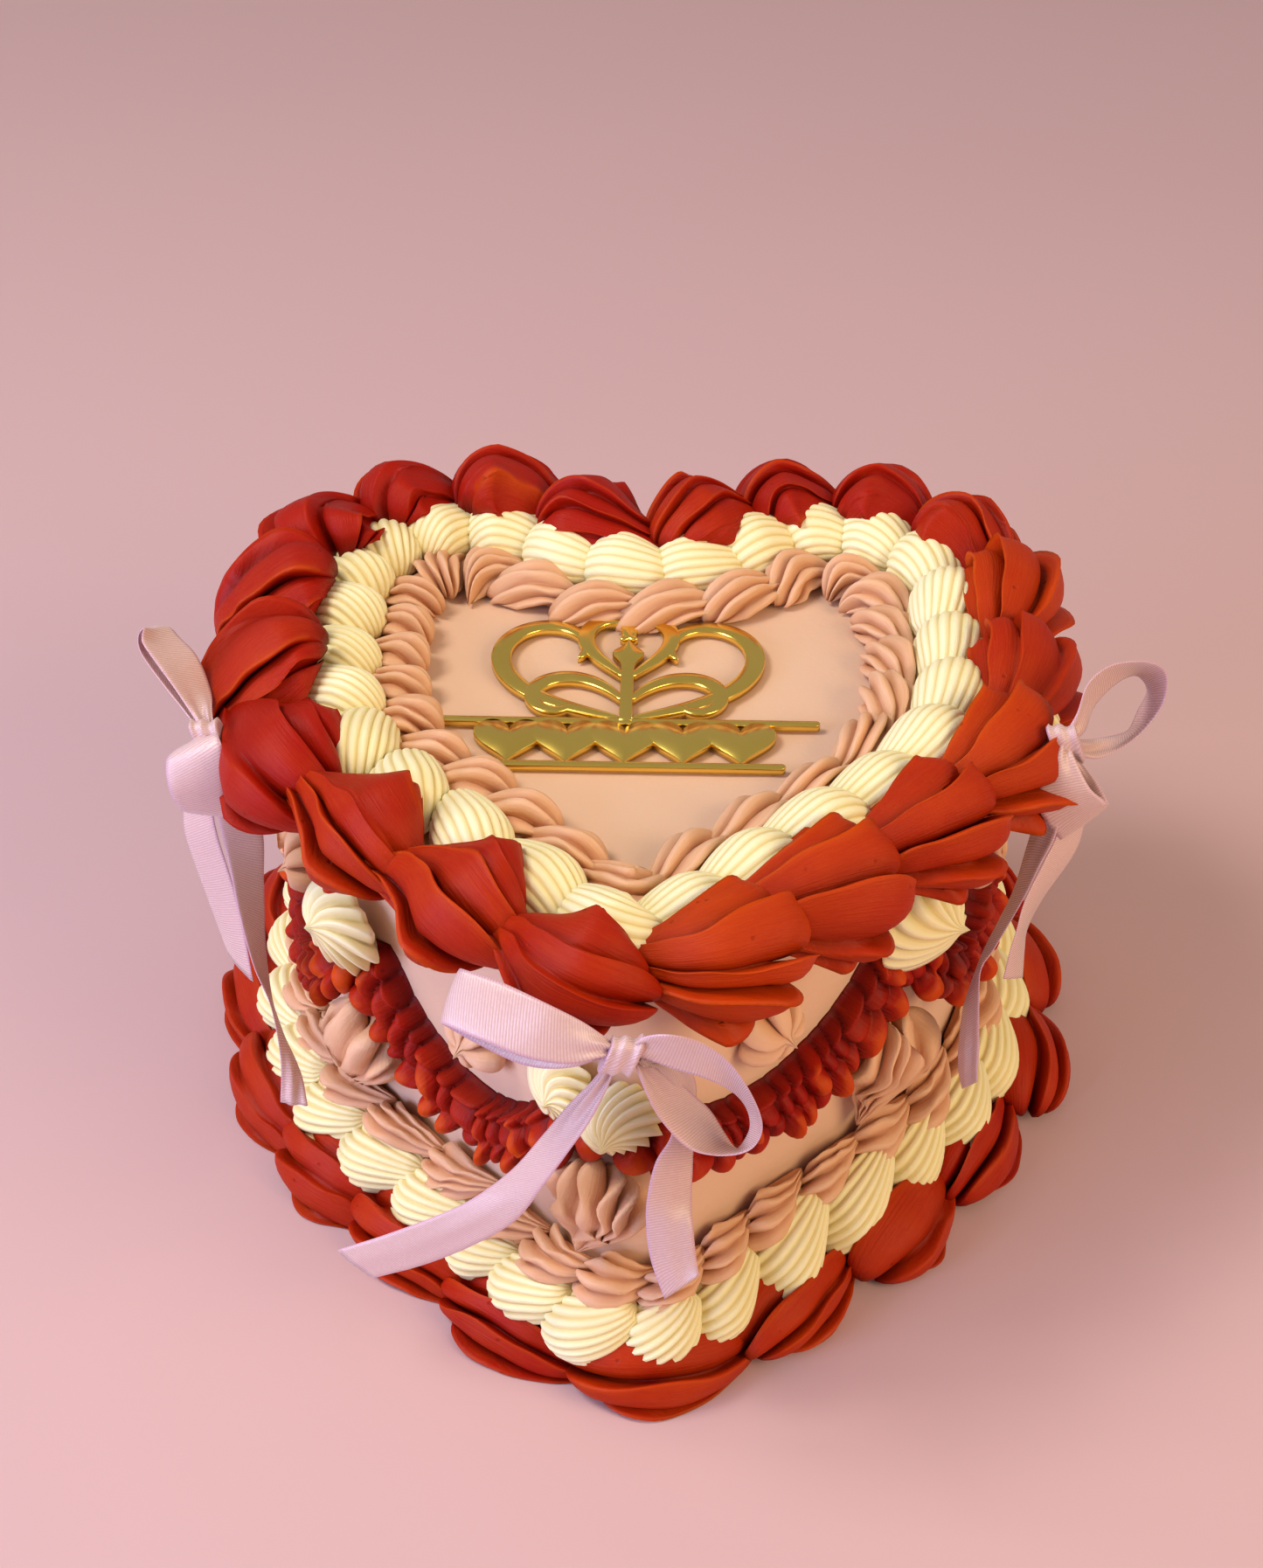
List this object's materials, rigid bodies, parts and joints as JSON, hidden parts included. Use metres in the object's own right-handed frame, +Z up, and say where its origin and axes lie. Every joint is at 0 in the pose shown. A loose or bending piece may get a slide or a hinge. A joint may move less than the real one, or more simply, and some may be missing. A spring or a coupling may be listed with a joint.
{
  "type": "heart shaped cake",
  "caption": "Heart shaped layer cake in pale peach icing with red, cream and peach piped borders, ruffled swags, satin bows and a flat gilt ornament on top.",
  "frame": {"origin": "on the underside, under the middle of the heart's widest part, in the plane the cake stands on", "axes": "+Z up, the heart's point towards -Y and its two lobes towards +Y, +X to the right as seen from the point"},
  "size_m": [0.2619, 0.2456, 0.1577],
  "materials": {
    "wall_icing": "smooth pale peach buttercream, matt with faint marks of the scraper",
    "red_icing": "deep orange red piped buttercream, satin",
    "cream_icing": "pale cream piped buttercream, satin",
    "peach_icing": "pale peach piped buttercream, satin",
    "satin_ribbon": "pale pink satin ribbon with a lilac sheen",
    "gilt": "polished gold coloured acrylic"
  },
  "bodies": {
    "root": {"cake": "wall_icing", "top_red_border": "red_icing", "top_cream_border": "cream_icing", "top_peach_border": "peach_icing", "ornament": "gilt", "base_red_border": "red_icing", "base_cream_border": "cream_icing", "base_peach_border": "peach_icing", "cream_star_1": "cream_icing", "cream_star_2": "cream_icing", "cream_star_3": "cream_icing", "cream_star_4": "cream_icing", "cream_star_5": "cream_icing", "cream_star_6": "cream_icing", "cream_star_7": "cream_icing", "cream_star_8": "cream_icing", "cream_dab_1": "cream_icing", "cream_dab_2": "cream_icing", "cream_dab_3": "cream_icing", "peach_star_1": "peach_icing", "peach_star_2": "peach_icing", "peach_star_3": "peach_icing", "peach_star_4": "peach_icing", "peach_star_5": "peach_icing", "peach_star_6": "peach_icing", "peach_star_7": "peach_icing", "peach_drop_1": "peach_icing", "peach_drop_2": "peach_icing", "peach_drop_3": "peach_icing", "peach_drop_4": "peach_icing", "peach_drop_5": "peach_icing", "peach_drop_6": "peach_icing", "peach_drop_7": "peach_icing", "swag_1": "red_icing", "swag_2": "red_icing", "swag_3": "red_icing", "swag_4": "red_icing", "swag_5": "red_icing", "swag_6": "red_icing", "swag_7": "red_icing", "bow_front": "satin_ribbon", "bow_left": "satin_ribbon", "bow_right": "satin_ribbon"}
  },
  "joints": []
}
